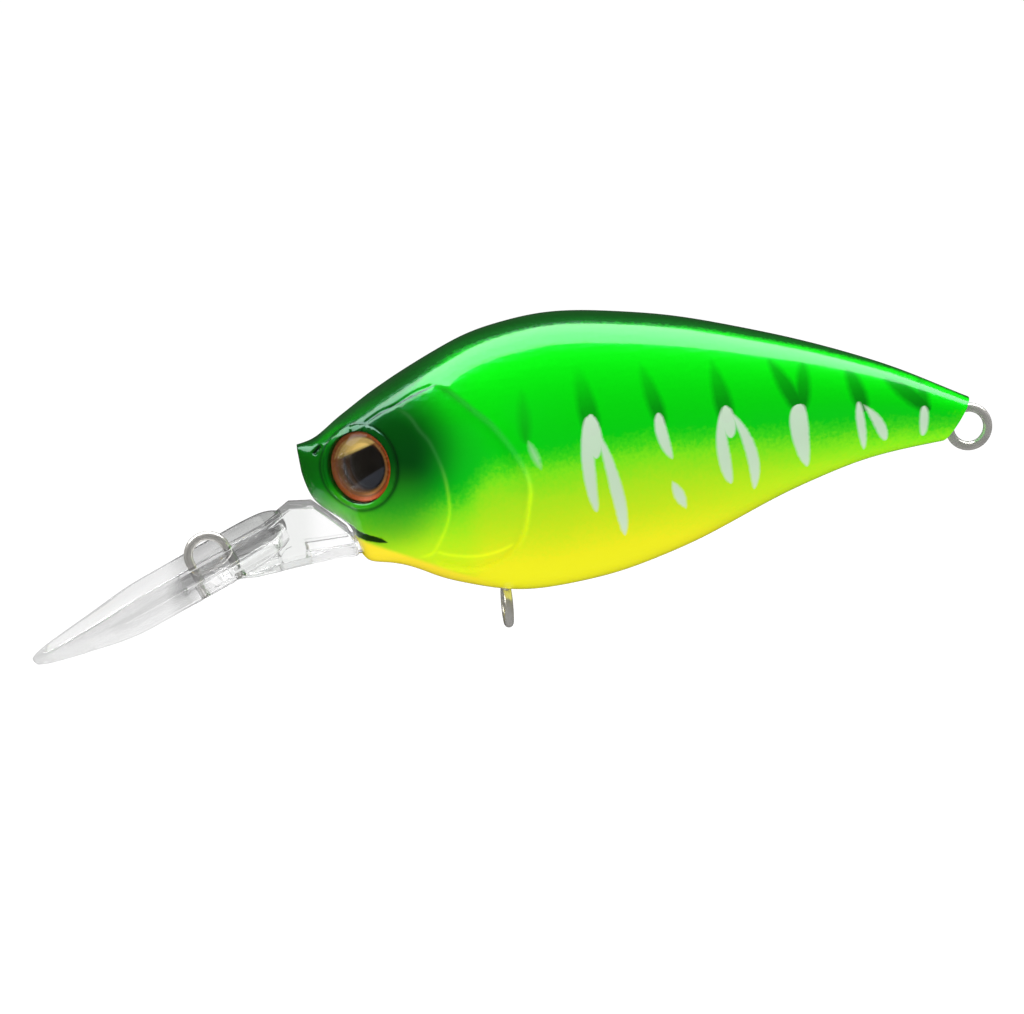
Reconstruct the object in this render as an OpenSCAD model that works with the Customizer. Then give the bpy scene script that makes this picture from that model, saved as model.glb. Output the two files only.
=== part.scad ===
// Diving crankbait: a hollow body in two halves, a clear diving lip, three wire eyes, moulded eyes,
// fixed ballast, and loose balls that roll in closed chambers inside the body.
// Frame: the origin is the centre of the line tie's loop. +X runs to the tail, +Z is up and the
// lure's left side faces -Y.

/* [Body] */
// Length of the body from nose to tail
body_len = 65.5; // [65:0.1:66]
// Greatest width of the body
body_w = 17.5; // [17.2:0.1:18]
// Wall of the two shells
wall = 1.4; // [1.3:0.1:1.5]
// Distance of the nose behind the line tie
nose_x = 9.4; // [9.4:0.1:9.7]
// Height of the nose over the line tie
nose_z = 9.6; // [9.5:0.1:9.7]

/* [Diving lip] */
// Slope of the lip down to its tip, in degrees
lip_slope = 24.7; // [24:0.1:25.5]
// Distance of the tip from the line tie, along the lip
lip_reach = 19.6; // [18:0.1:21]
// Greatest width of the lip
lip_w = 20.8; // [18:0.1:23]
// Thickness of the lip's plate
lip_t = 1.7; // [1.5:0.1:1.9]
// Width of the neck that joins the plate to the body
neck_w = 7.2; // [6.5:0.1:7.6]

/* [Wire eyes] */
// Diameter of the stainless wire
wire_d = 0.9; // [0.8:0.05:1]
// Hole radius of the tail eye and of the line tie
eye_hole_r = 1.45; // [1.3:0.05:1.5]
// Hole radius of the belly eye
belly_hole_r = 1.3; // [1.2:0.05:1.35]

/* [Moulded eyes] */
// Radius of the eye
eye_r = 3.4; // [3.2:0.1:3.6]
// Turn of the eye towards the nose, in degrees
eye_turn = 35; // [32:1:37]

/* [Ballast and balls] */
// Radius of each of the rolling balls
ball_r = 3; // [2.6:0.1:3.1]
// Rise of the ball channel towards the tail, in degrees
channel_slope = 9.2; // [8.8:0.1:9.6]
// Travel of the row of balls along the channel
ball_travel = 22; // [18:0.5:22.5]
// Radius of each rattle ball
rattle_r = 1.5; // [1.2:0.1:1.6]
// Travel of each rattle ball
rattle_travel = 5; // [3:0.5:5.5]

/* [Hidden] */

wire_r = wire_d / 2;
fit = 0.05; // gap between glued or trapped pieces
roll_gap = 0.3; // gap between a loose ball and its chamber

// outlines from the nose, before scaling: distance along the body, then height or half-width
top_line = [[0, 0], [1.4, 0.5], [4.3, 2.5], [8.5, 5.2], [12.6, 7.5], [18.6, 10], [25.5, 11],
    [34.2, 10.1], [45.7, 7.3], [57.1, 3.3], [65.5, -0.8]];
bottom_line = [[0, -0.4], [0.25, -2.6], [1.2, -5.1], [4.6, -8.3], [5.4, -11.2], [6.2, -11.6],
    [9.2, -12], [12.7, -13.7], [21.5, -15.7], [28.1, -15.1], [36.1, -13], [48.3, -8],
    [56.3, -5.7], [65.5, -4.6]];
side_line = [[0, 0.13], [1.2, 0.26], [3, 0.41], [6, 0.63], [9, 0.81], [13, 0.93], [18, 0.985],
    [24, 1], [33, 0.94], [42, 0.78], [52, 0.55], [60, 0.36], [65.5, 0.25]];
stations = concat([0, 0.25, 0.7, 1.3, 2.1, 3, 4, 4.7, 5.2, 5.6, 6.4, 7.6, 9.2],
    [for (x = [11:2.3:63]) x], [65.5]);
nominal_len = 65.5;
stretch = body_len / nominal_len;
cavity_from = 9.5;
cavity_to = 53;
side_steps = 12; // steps from the back to the belly on each side

// the tail's flat end: a point on it and its lean
tail_end = [nose_x + body_len, 0, nose_z - 0.8];
tail_lean = 35;
tail_eye_at = tail_end + [-0.1, 0, -2.95];
tail_anchor_at = tail_eye_at + 2 * (eye_hole_r + wire_r) * [-cos(25), 0, sin(25)];

belly_x = nose_x + 19;
belly_loop_r = belly_hole_r + wire_r;
belly_eye_at = [belly_x, 0, nose_z - 17.15];
belly_anchor_at = belly_eye_at + [0, 0, 2 * belly_loop_r];

tie_loop_r = eye_hole_r + wire_r;
tie_leg = 2.1;
tongue_back = nose_x + 11.1;

eye_at = [5.5, -1.7]; // from the nose: back and up
eye_sink = 0.95; // share of the body's half-width at which the eye's rim stands
eye_floor = -1.3; // depth of the socket below its rim
rim_w = 0.85;
rim_h = 0.2;
iris_t = 0.5;
pupil_r = 2.25;
dome_h = 1.0;

channel_at = [24, 0, 4.3];
channel_r = ball_r + roll_gap;
channel_wall = 0.8;
ball_pitch = 2 * ball_r + 0.1;
ball_count = 3;
channel_len = ball_travel + (ball_count - 1) * ball_pitch + 2 * channel_r;
magnet_r = 2;
magnet_t = 1.5;

ballast_r = 1.8;
ballast_len = 6;
ballast_at = [24.3, 0, -1.2];
ballast_ball_r = 2.4;
ballast_ball_at = [34.5, 0, -2];

front_rattle_at = [28, 0, 14.6];
rear_rattle_at = [46.5, 0, 14.2];
rattle_slope = 6;
rattle_chamber_r = rattle_r + roll_gap;

peg_r = 0.7;
peg_len = 1.5;
pegs = [[20.5, 12], [40.5, 15.2], [42.5, 0.4], [66, 8.6]];

// slope of a smooth curve through pts at point i, flat where the curve turns
function tangent(pts, i) =
    i == 0 ? rise(pts, 0)
    : i == len(pts) - 1 ? rise(pts, i - 1)
    : let (before = rise(pts, i - 1), after = rise(pts, i))
      before * after <= 0 ? 0 : 2 * before * after / (before + after);
function rise(pts, i) = (pts[i + 1][1] - pts[i][1]) / (pts[i + 1][0] - pts[i][0]);
function segment(pts, x, i = 0) =
    i >= len(pts) - 2 || x <= pts[i + 1][0] ? i : segment(pts, x, i + 1);
// height of the smooth curve through pts at x
function curve(pts, x) =
    let (i = segment(pts, x), p = pts[i], q = pts[i + 1], h = q[0] - p[0], s = (x - p[0]) / h)
    p[1] * (1 + 2 * s) * (1 - s) * (1 - s) + q[1] * s * s * (3 - 2 * s)
    + tangent(pts, i) * h * s * (1 - s) * (1 - s) - tangent(pts, i + 1) * h * s * s * (1 - s);

function power(v, p) = sign(v) * pow(abs(v), p);
// one closed section of the body at distance x behind the nose, drawn in by inset
function section(x, inset) =
    let (top = curve(top_line, x) - inset, bottom = curve(bottom_line, x) + inset,
         half_w = curve(side_line, x) * body_w / 2 - inset)
    [for (k = [0:2 * side_steps - 1]) let (a = 180 * k / side_steps)
        [nose_x + x * stretch, half_w * power(sin(a), 0.94),
         nose_z + (top + bottom) / 2 + (top - bottom) / 2 * power(cos(a), 0.94)]];
// half-width of the body at a place in the frame, where its section is widest
function side_at(x) = curve(side_line, (x - nose_x) / stretch) * body_w / 2;

// a solid through the body's sections, drawn in by inset, between two distances behind the nose
module body_solid(inset, from, to) {
    xs = concat([from], [for (x = stations) if (x > from + 0.2 && x < to - 0.2) x], [to]);
    n = 2 * side_steps;
    rings = len(xs);
    points = [for (x = xs) each section(x, inset)];
    sides = [for (i = [0:rings - 2], k = [0:n - 1])
        let (a = i * n + k, b = i * n + (k + 1) % n)
        each [[a, b, b + n], [a, b + n, a + n]]];
    polyhedron(points, concat([[for (k = [n - 1:-1:0]) k]], sides,
        [[for (k = [0:n - 1]) (rings - 1) * n + k]]), convexity = 6);
}

module half_space(side) {
    translate([-5, side < 0 ? -20 : 0, -20]) cube([90, 20, 50]);
}

// places its children in the left eye's own frame, +Z out of the eye, and mirrors for the right
module at_eye(side) {
    x = nose_x + eye_at[0];
    mirror([0, side < 0 ? 0 : 1, 0])
        translate([x, -side_at(x) * eye_sink, nose_z + eye_at[1]])
            rotate([90, 0, -eye_turn]) children();
}

module along_channel(from) {
    translate(channel_at) rotate([0, 90 - channel_slope, 0]) translate([0, 0, from]) children();
}

// a flat plate across the body's inside, rounded at its corners
module web(x, z, w, h, t = 1) {
    hull() for (i = [-1, 1], j = [-1, 1])
        translate([x + i * (w / 2 - 0.3), -10, z + j * (h / 2 - 0.3)])
            rotate([-90, 0, 0]) cylinder(r = 0.3, h = 20, $fn = 8);
}

module inner_blocks() {
    along_channel(-channel_r - 2) cylinder(r = channel_r + channel_wall, h = channel_len + 3, $fn = 32);
    for (x = [31, 38, 45, 52]) web(x, 4.5 + (x - 31) * 0.13, 1.2, 7);
    web(ballast_at[0], ballast_at[2], 2 * ballast_r + 2, 2 * ballast_r + 3);
    web(ballast_ball_at[0], ballast_ball_at[2], 2 * ballast_ball_r + 2, 2 * ballast_ball_r + 3);
    web(belly_x, belly_anchor_at[2], 2.6, 6);
    for (at = [front_rattle_at, rear_rattle_at])
        web(at[0] + rattle_travel / 2, at[2] + 0.3, rattle_travel + 6, 5.4);
    for (p = pegs) web(p[0], p[1], 3.2, 3.2);
}

module tail_cut() {
    translate(tail_end) rotate([0, tail_lean, 0]) translate([0, -10, -20]) cube([20, 20, 40]);
}

// the room that the lip's tongue, the wires, the ballast and the balls take
module pockets() {
    translate([nose_x + 3, -neck_w / 2 - fit, nose_z - 10.85])
        cube([tongue_back - nose_x - 3 + fit, neck_w + 2 * fit, 1.7 + 2 * fit]);
    for (at = [tail_eye_at, tail_anchor_at]) translate(at) rotate([90, 0, 0])
        cylinder(r = eye_hole_r + wire_d + fit, h = wire_d + 2 * fit, center = true, $fn = 32);
    for (at = [belly_eye_at, belly_anchor_at]) translate(at) rotate([0, 90, 0])
        cylinder(r = belly_loop_r + wire_r + fit, h = wire_d + 2 * fit, center = true, $fn = 32);
    translate(ballast_at) rotate([90, 0, 0])
        cylinder(r = ballast_r + fit, h = ballast_len + 2 * fit, center = true, $fn = 32);
    translate(ballast_ball_at) sphere(r = ballast_ball_r + fit, $fn = 24);
    along_channel(-channel_r) cylinder(r = channel_r, h = channel_len, $fn = 36);
    along_channel(-channel_r - magnet_t - 0.4 - fit)
        cylinder(r = magnet_r + fit, h = magnet_t + 2 * fit, $fn = 32);
    for (at = [front_rattle_at, rear_rattle_at])
        translate(at) rotate([0, 90 - rattle_slope, 0]) translate([0, 0, -rattle_chamber_r])
            cylinder(r = rattle_chamber_r, h = rattle_travel + 2 * rattle_chamber_r, $fn = 24);
}

module shell(side) {
    color("limegreen") difference() {
        union() {
            intersection() {
                union() {
                    difference() {
                        body_solid(0, 0, nominal_len);
                        body_solid(wall, cavity_from, cavity_to);
                    }
                    intersection() {
                        body_solid(wall / 2, 7, 60);
                        inner_blocks();
                    }
                    at_eye(side) translate([0, 0, -2.5])
                        cylinder(r = eye_r + rim_w, h = 2.5 + rim_h, $fn = 48);
                }
                half_space(side);
            }
            if (side < 0) for (p = pegs) translate([p[0], -1, p[1]]) rotate([-90, 0, 0])
                cylinder(r = peg_r, h = peg_len + 1, $fn = 20);
        }
        tail_cut();
        pockets();
        at_eye(side) translate([0, 0, eye_floor]) cylinder(r = eye_r + fit, h = 5, $fn = 48);
        if (side > 0) for (p = pegs) translate([p[0], -1, p[1]]) rotate([-90, 0, 0])
            cylinder(r = peg_r + 2 * fit, h = peg_len + 1.2, $fn = 20);
    }
}

module left_shell() { shell(-1); }
module right_shell() { shell(1); }

// half-width of the lip's plate at a distance from the line tie, along the plate
lip_outline = [[-1, 0], [-0.985, 0.14], [-0.93, 0.29], [-0.83, 0.45], [-0.68, 0.66], [-0.5, 0.93],
    [-0.36, 1], [0.2, 1], [0.3, 0.9], [0.36, 0.72], [0.4, 0.5]];

module lip_plate() {
    edge = [for (p = lip_outline) [p[0] * lip_reach, p[1] * lip_w / 2]];
    far = [for (i = [len(edge) - 1:-1:1]) [edge[i][0], -edge[i][1]]];
    rotate([0, -lip_slope, 0]) translate([0, 0, -0.2 - lip_t])
        linear_extrude(lip_t) polygon(concat(edge, far));
}

module lip_neck() {
    side_view = [[-1, -2.15], [8.2, 4.2], [10.5, 4.1], [13.65, 1.2], [13.95, 0.5], [tongue_back, 0.5],
        [tongue_back, -1.2], [10, -1.3], [4.4, -2.1]];
    translate([0, neck_w / 2, 0]) rotate([90, 0, 0]) linear_extrude(neck_w) polygon(side_view);
}

module diving_lip() {
    color("aliceblue", 0.4) difference() {
        union() {
            lip_plate();
            lip_neck();
            rotate([0, -lip_slope, 0]) translate([-3.6, -1.3, -3.4]) cube([6.4, 2.6, 3]);
        }
        tie_wire(wire_r + 0.03);
    }
}

// the half loop of the line tie and its two legs, which stand in the lip
module tie_wire(r) {
    rotate([0, -lip_slope, 0]) {
        rotate([90, 0, 0]) rotate_extrude(angle = 180) translate([tie_loop_r, 0]) circle(r = r, $fn = 32);
        for (x = [-tie_loop_r, tie_loop_r]) translate([x, 0, -tie_leg - r + wire_r])
            cylinder(r = r, h = tie_leg + r - wire_r, $fn = 32);
    }
}

module line_tie() {
    color("silver") tie_wire(wire_r);
}

// a closed loop of round wire about Z; its inner side has a narrow straight land
module wire_loop(hole_r) {
    rotate_extrude($fn = 48) {
        translate([hole_r + wire_r, 0]) circle(r = wire_r, $fn = 32);
        translate([hole_r, -0.15]) square([wire_r, 0.3]);
    }
}

module belly_hanger() {
    color("silver") {
        translate(belly_eye_at) rotate([0, 90, 0]) wire_loop(belly_hole_r);
        translate(belly_anchor_at) rotate([0, 90, 0]) wire_loop(belly_hole_r);
    }
}

module tail_hanger() {
    color("silver") {
        translate(tail_eye_at) rotate([90, 0, 0]) wire_loop(eye_hole_r);
        translate(tail_anchor_at) rotate([90, 0, 0]) wire_loop(eye_hole_r);
    }
}

module eye_iris(side) {
    color("peru") at_eye(side) translate([0, 0, eye_floor]) rotate_extrude($fn = 48)
        polygon([[0, 0], [eye_r, 0], [eye_r, 0.9], [eye_r - 0.25, 0.9], [pupil_r + 0.1, iris_t],
            [0, iris_t]]);
}

// a low dome: the part of a sphere over a circle of radius r, h high
module dome(r, h) {
    sphere_r = (r * r + h * h) / (2 * h);
    rotate_extrude($fn = 64) intersection() {
        translate([0, h - sphere_r]) circle(r = sphere_r, $fn = 200);
        square([r, h + 1]);
    }
}

module eye_pupil(side) {
    color("black") at_eye(side) translate([0, 0, eye_floor + iris_t]) dome(pupil_r, 0.6);
}

module eye_lens(side) {
    base = eye_floor + 0.9;
    color("white", 0.3) at_eye(side) translate([0, 0, base]) difference() {
        dome(eye_r, dome_h + 0.4);
        translate([0, 0, -0.01]) dome(pupil_r + 0.4, 0.4);
    }
}

module left_eye_iris() { eye_iris(-1); }
module right_eye_iris() { eye_iris(1); }
module left_eye_pupil() { eye_pupil(-1); }
module right_eye_pupil() { eye_pupil(1); }
module left_eye_lens() { eye_lens(-1); }
module right_eye_lens() { eye_lens(1); }

module belly_ballast() {
    color("goldenrod") translate(ballast_at) rotate([90, 0, 0])
        cylinder(r = ballast_r, h = ballast_len, center = true, $fn = 48);
}

module ballast_ball() {
    color("silver") translate(ballast_ball_at) sphere(r = ballast_ball_r, $fn = 48);
}

module channel_magnet() {
    color("dimgray") along_channel(-channel_r - magnet_t - 0.4)
        cylinder(r = magnet_r, h = magnet_t, $fn = 48);
}

module rolling_ball(place) {
    color("gray") along_channel(place * ball_pitch) sphere(r = ball_r, $fn = 48);
}

module front_rolling_ball() { rolling_ball(0); }
module middle_rolling_ball() { rolling_ball(1); }
module rear_rolling_ball() { rolling_ball(2); }

module front_rattle_ball() {
    color("silver") translate(front_rattle_at) sphere(r = rattle_r, $fn = 48);
}

module rear_rattle_ball() {
    color("silver") translate(rear_rattle_at) sphere(r = rattle_r, $fn = 48);
}

left_shell();
right_shell();
diving_lip();
line_tie();
belly_hanger();
tail_hanger();
left_eye_iris();
right_eye_iris();
left_eye_pupil();
right_eye_pupil();
left_eye_lens();
right_eye_lens();
belly_ballast();
ballast_ball();
channel_magnet();
front_rolling_ball();
middle_rolling_ball();
rear_rolling_ball();
front_rattle_ball();
rear_rattle_ball();
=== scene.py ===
"""Diving crankbait: painted shells, clear lip, wire eyes, moulded eyes, ballast and balls."""

import math

import bmesh
import bpy
import numpy as np
from bpy.props import FloatProperty, FloatVectorProperty, IntProperty, PointerProperty
from mathutils import Matrix, Vector


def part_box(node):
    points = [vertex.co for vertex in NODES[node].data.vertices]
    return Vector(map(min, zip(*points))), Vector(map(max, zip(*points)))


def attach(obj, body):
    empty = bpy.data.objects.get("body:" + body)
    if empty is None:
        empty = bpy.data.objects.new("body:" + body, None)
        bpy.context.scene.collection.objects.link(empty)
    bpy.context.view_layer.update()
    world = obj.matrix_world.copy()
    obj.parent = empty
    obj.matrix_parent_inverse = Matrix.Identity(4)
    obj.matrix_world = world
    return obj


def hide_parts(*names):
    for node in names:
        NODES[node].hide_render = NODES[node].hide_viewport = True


bl_info = {
    "name": "Diving crankbait",
    "version": (1, 0, 0),
    "blender": (4, 5, 0),
    "location": "View3D > Sidebar > Crankbait",
    "description": "Builds a diving crankbait on its packed frame",
    "category": "Object",
}

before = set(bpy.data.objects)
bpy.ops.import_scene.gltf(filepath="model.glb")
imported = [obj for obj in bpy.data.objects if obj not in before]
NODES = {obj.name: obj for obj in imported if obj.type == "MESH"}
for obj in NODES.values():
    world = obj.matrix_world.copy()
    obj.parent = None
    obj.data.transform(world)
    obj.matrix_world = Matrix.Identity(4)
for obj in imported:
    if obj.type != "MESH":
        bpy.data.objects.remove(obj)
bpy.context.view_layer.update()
MM = 0.001

# Places in millimetres, worked out from the frame -------------------------------------------

SHELL_LOW, SHELL_HIGH = (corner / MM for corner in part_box("left_shell"))
NOSE = Vector((SHELL_LOW.x, 0.0, SHELL_LOW.z + 15.7))
BODY_LENGTH = SHELL_HIGH.x - SHELL_LOW.x
WIRE_RADIUS = 0.45


# The body's outlines from the nose, in millimetres: distance back, then height or share of width
TOP_LINE = [(0, 0.3), (1.4, 0.65), (4.3, 2.5), (8.5, 5.2), (12.6, 7.5), (18.6, 10), (25.5, 10.98),
            (34.2, 10.1), (45.7, 7.3), (57.1, 3.3), (65.5, -0.8)]
BOTTOM_LINE = [(0, -0.4), (0.25, -2.6), (1.2, -5.1), (4.6, -8.3), (5.4, -11.2), (6.2, -11.6),
               (9.2, -12), (12.7, -13.7), (21.5, -15.7), (28.1, -15.1), (36.1, -13),
               (48.3, -8), (56.3, -5.7), (65.5, -4.6)]
SIDE_LINE = [(0, 0.13), (1.2, 0.26), (3, 0.41), (6, 0.63), (9, 0.81), (13, 0.93), (18, 0.985),
             (24, 1), (33, 0.94), (42, 0.78), (52, 0.55), (60, 0.36), (65.5, 0.25)]
HALF_WIDTH = 8.75
ROUNDNESS = 2.2  # 2 is an ellipse, more is squarer
BROW_ROUNDNESS = 1.3  # added over the eyes, on the upper half

# Lines of the head's relief, seen from the side: distance and height from the line tie
GILL_EDGE = [(22.6, 15.2), (24.1, 14.4), (26.1, 12.6), (27.6, 11.2), (29.3, 8.8), (30.4, 6.6),
             (30.7, 4.8), (30.4, 3.0), (30.0, 1.1), (29.1, -0.7), (27.4, -2.0), (24.9, -2.8),
             (22.8, -2.4), (21.2, -1.7)]
GILL_FOLD = [(29.1, -0.3), (27.5, -1.0), (25.2, -1.4), (22.8, -1.1), (21.5, -0.6)]
CHEEK_EDGE = [(18.6, 13.5), (19.9, 12.6), (20.8, 11.2), (21.7, 9.9), (22.7, 7.0), (23.0, 4.0),
              (22.7, 2.2), (22.0, 0.6), (21.2, -0.8), (19.8, -1.4)]
BROW = [(15.7, 12.0), (17.3, 13.0), (18.6, 13.5), (20.7, 14.6), (22.6, 15.2)]
MOUTH = [(13.2, 1.9), (14.4, 1.25), (15.6, 0.85), (17.0, 0.5)]
NOSTRIL = [(10.8, 9.1), (11.6, 10.0)]
# Raised edges that get a painted highlight: path, width and share
HIGHLIGHT_LINES = [(GILL_EDGE, 0.22, 1.0), (CHEEK_EDGE, 0.16, 0.8), (GILL_FOLD, 0.16, 0.7)]


# Settings -----------------------------------------------------------------------------------


def colour(name, description, default):
    return FloatVectorProperty(
        name=name, description=description, subtype="COLOR", default=default)


class LureSizes(bpy.types.PropertyGroup):
    """Sizes that a user would change, in metres."""

    relief: FloatProperty(
        name="Relief", description="Height of the gill covers' edge", default=0.2 * MM,
        unit="LENGTH")
    steps_along: IntProperty(
        name="Steps along", description="Faces along the body", default=400)
    steps_around: IntProperty(
        name="Steps around", description="Faces round one side of the body", default=180)


class LureColours(bpy.types.PropertyGroup):
    """Colours of the paint."""

    back: colour("Back", "Dark green of the back", (0.001, 0.035, 0.002))
    flank: colour("Flank", "Bright green of the upper flank", (0.001, 0.64, 0.001))
    lime: colour("Lime", "Lime of the lower flank", (0.22, 0.86, 0.001))
    belly: colour("Belly", "Yellow of the belly", (0.87, 0.84, 0.003))
    chin: colour("Chin", "Warm yellow of the lower jaw", (1.0, 0.79, 0.02))
    stripe: colour("Stripe", "Silver white of the forked stripes", (0.62, 0.78, 0.6))


# Mesh helpers -------------------------------------------------------------------------------


def line_at(points, x):
    """Height of the smooth line through the points at each x, flat where the line turns."""
    p = np.array(points, float)
    x = np.clip(x, p[0, 0], p[-1, 0])
    i = np.clip(np.searchsorted(p[:, 0], x, side="right") - 1, 0, len(p) - 2)
    gap = np.diff(p[:, 0])
    rise = np.diff(p[:, 1]) / gap
    before, after = rise[:-1], rise[1:]
    turns = before * after <= 0
    total = np.where(turns, 1.0, before + after)
    bend = np.where(turns, 0.0, 2 * before * after / total)
    slope = np.concatenate(([rise[0]], bend, [rise[-1]]))
    s = (x - p[i, 0]) / gap[i]
    return (p[i, 1] * (1 + 2 * s) * (1 - s) ** 2 + p[i + 1, 1] * s * s * (3 - 2 * s)
            + slope[i] * gap[i] * s * (1 - s) ** 2 - slope[i + 1] * gap[i] * s * s * (1 - s))


def eased_line(points, x, reach=1.8):
    """The line with its bends spread out, so that a glossy surface on it has no kinks."""
    reach = np.minimum(reach, np.minimum(np.maximum(x - 4.0, 0.02) * 0.4, (65.6 - x) * 0.9))
    return sum(line_at(points, x + reach * s) for s in np.linspace(-1, 1, 9)) / 9


def smooth_path(points, per_step=8):
    """Points along the smooth curve that runs through the given ones."""
    p = np.array(points, float)
    p = np.vstack([2 * p[0] - p[1], p, 2 * p[-1] - p[-2]])
    out = []
    for a, b, c, d in zip(p, p[1:], p[2:], p[3:]):
        for s in np.arange(per_step) / per_step:
            out.append(0.5 * (2 * b + (c - a) * s + (2 * a - 5 * b + 4 * c - d) * s * s
                              + (3 * b - a - 3 * c + d) * s ** 3))
    return np.array(out + [p[-2]])


def distance_to(path, x, z):
    """Distance of each place from the path, its side (+1 is right of the path's run), and
    how far along the path it is, from 0 to 1."""
    near = np.full(x.shape, 1e9)
    side = np.zeros(x.shape)
    along = np.zeros(x.shape)
    for k, (a, b) in enumerate(zip(path, path[1:])):
        run = b - a
        t = np.clip(((x - a[0]) * run[0] + (z - a[1]) * run[1]) / (run @ run), 0, 1)
        dx, dz = x - a[0] - t * run[0], z - a[1] - t * run[1]
        d = np.hypot(dx, dz)
        closer = d < near
        near = np.where(closer, d, near)
        side = np.where(closer, np.sign(dx * run[1] - dz * run[0]), side)
        along = np.where(closer, (k + t) / (len(path) - 1), along)
    return near, side, along


def start_fresh():
    if bpy.context.object and bpy.context.object.mode != "OBJECT":
        bpy.ops.object.mode_set(mode="OBJECT")
    bpy.ops.object.select_all(action="DESELECT")


def pick(piece):
    """Makes the piece the active one and the only selected one."""
    start_fresh()
    bpy.context.view_layer.objects.active = piece
    piece.select_set(True)


def take(name):
    """Names the new object and puts its place into its mesh."""
    piece = bpy.context.object
    piece.name = name
    piece.data.name = name
    bpy.ops.object.transform_apply(location=True, rotation=True, scale=True)
    return piece


def place_vertices(piece, places):
    piece.data.vertices.foreach_set("co", (np.asarray(places, np.float64) * MM).ravel())
    piece.data.update()


def edit(piece):
    pick(piece)
    bpy.ops.object.mode_set(mode="EDIT")
    return bmesh.from_edit_mesh(piece.data)


def done():
    bpy.ops.object.mode_set(mode="OBJECT")


def whole_mesh():
    bpy.ops.mesh.select_all(action="SELECT")


def face_outwards():
    whole_mesh()
    bpy.ops.mesh.normals_make_consistent(inside=False)


def cut_away(at, facing, outer=False):
    """Cuts the mesh in edit mode at a plane, closes the cut and drops one side of it."""
    whole_mesh()
    bpy.ops.mesh.bisect(plane_co=Vector(at) * MM, plane_no=facing, clear_inner=not outer,
                        clear_outer=outer, use_fill=True, threshold=1e-8)


def apply_modifier(piece, kind, **values):
    pick(piece)
    m = piece.modifiers.new(kind.title(), kind)
    for key, value in values.items():
        setattr(m, key, value)
    bpy.ops.object.modifier_apply(modifier=m.name)


def combine(piece, tool, operation):
    """Cuts, joins or intersects the piece with the tool, and removes the tool."""
    apply_modifier(piece, "BOOLEAN", operation=operation, object=tool, solver="MANIFOLD")
    bpy.data.objects.remove(tool)


def tidy_normals(piece):
    edit(piece)
    whole_mesh()
    bpy.ops.mesh.remove_doubles(threshold=1e-7)
    face_outwards()
    done()


def smooth(piece, angle=35):
    pick(piece)
    bpy.ops.object.shade_smooth_by_angle(angle=math.radians(angle))


def lathe(name, profile, steps=96):
    """A closed turned solid about +Z: each profile entry is a radius and a height. The first
    ring is closed flat, and so is the last unless its radius is 0."""
    start_fresh()
    bpy.ops.mesh.primitive_circle_add(vertices=steps, radius=profile[0][0] * MM,
                                      fill_type="NGON", location=(0, 0, profile[0][1] * MM))
    piece = take(name)
    edit(piece)
    whole_mesh()
    for radius, height in profile[1:]:
        bpy.ops.mesh.extrude_region_move()
        mesh = bmesh.from_edit_mesh(piece.data)
        for v in mesh.verts:
            if v.select:
                angle = math.atan2(v.co.y, v.co.x)
                reach = max(radius, 1e-3)
                v.co = Vector((reach * math.cos(angle), reach * math.sin(angle), height)) * MM
        bmesh.update_edit_mesh(piece.data)
    if profile[-1][0] == 0:
        bpy.ops.mesh.merge(type="CENTER")
    face_outwards()
    done()
    return piece


def closed_dome(radius, height, steps, base):
    """Profile of a low dome over a circle, from its rim to its top."""
    ball = (radius * radius + height * height) / (2 * height)
    widest = math.asin(min(radius / ball, 1.0))
    out = [(radius, base)]
    for k in range(1, steps):
        a = widest * (1 - k / steps)
        out.append((ball * math.sin(a), base + height - ball + ball * math.cos(a)))
    return out + [(0, base + height)]


def place(piece, matrix):
    """Moves the piece's mesh, in millimetres, and keeps its faces outwards."""
    grow = Matrix.Scale(MM, 4)
    piece.data.transform(grow @ matrix @ grow.inverted())
    if matrix.determinant() < 0:
        piece.data.flip_normals()
    piece.data.update()
    return piece


def copy_of(piece, name):
    twin = piece.copy()
    twin.data = piece.data.copy()
    twin.name = name
    twin.data.name = name
    bpy.context.scene.collection.objects.link(twin)
    return twin


def wire_ring(name, radius, thickness, sweep=360.0, steps=96):
    """A round wire bent about +Z, from the +X side."""
    start_fresh()
    bpy.ops.mesh.primitive_circle_add(vertices=24, radius=thickness * MM, fill_type="NGON",
                                      location=(radius * MM, 0, 0),
                                      rotation=(math.pi / 2, 0, 0))
    piece = take(name)
    edit(piece)
    whole_mesh()
    if sweep == 360.0:
        bpy.ops.mesh.delete(type="ONLY_FACE")
        whole_mesh()
    bpy.ops.mesh.spin(steps=steps, angle=math.radians(sweep), center=(0, 0, 0), axis=(0, 0, 1))
    whole_mesh()
    bpy.ops.mesh.remove_doubles(threshold=1e-6)
    face_outwards()
    done()
    return piece


def prism(name, outline, from_y, to_y, bevel=0.0, bevel_steps=3):
    """A solid of that outline in the X-Z plane between two distances, with rounded edges."""
    start_fresh()
    bpy.ops.mesh.primitive_circle_add(vertices=len(outline), radius=MM, fill_type="NGON")
    piece = take(name)
    for v, (x, z) in zip(piece.data.vertices, outline):
        v.co = Vector((x, from_y, z)) * MM
    edit(piece)
    whole_mesh()
    bpy.ops.mesh.extrude_region_move(
        TRANSFORM_OT_translate={"value": (0, (to_y - from_y) * MM, 0)})
    face_outwards()
    done()
    if bevel:
        apply_modifier(piece, "BEVEL", width=bevel * MM, segments=bevel_steps,
                       limit_method="ANGLE", angle_limit=math.radians(40))
    return piece


def finish_piece(piece, body, nodes, material, angle=35):
    smooth(piece, angle)
    piece.data.materials.clear()
    piece.data.materials.append(material)
    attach(piece, body)
    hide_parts(*nodes)


# Body ---------------------------------------------------------------------------------------


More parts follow.
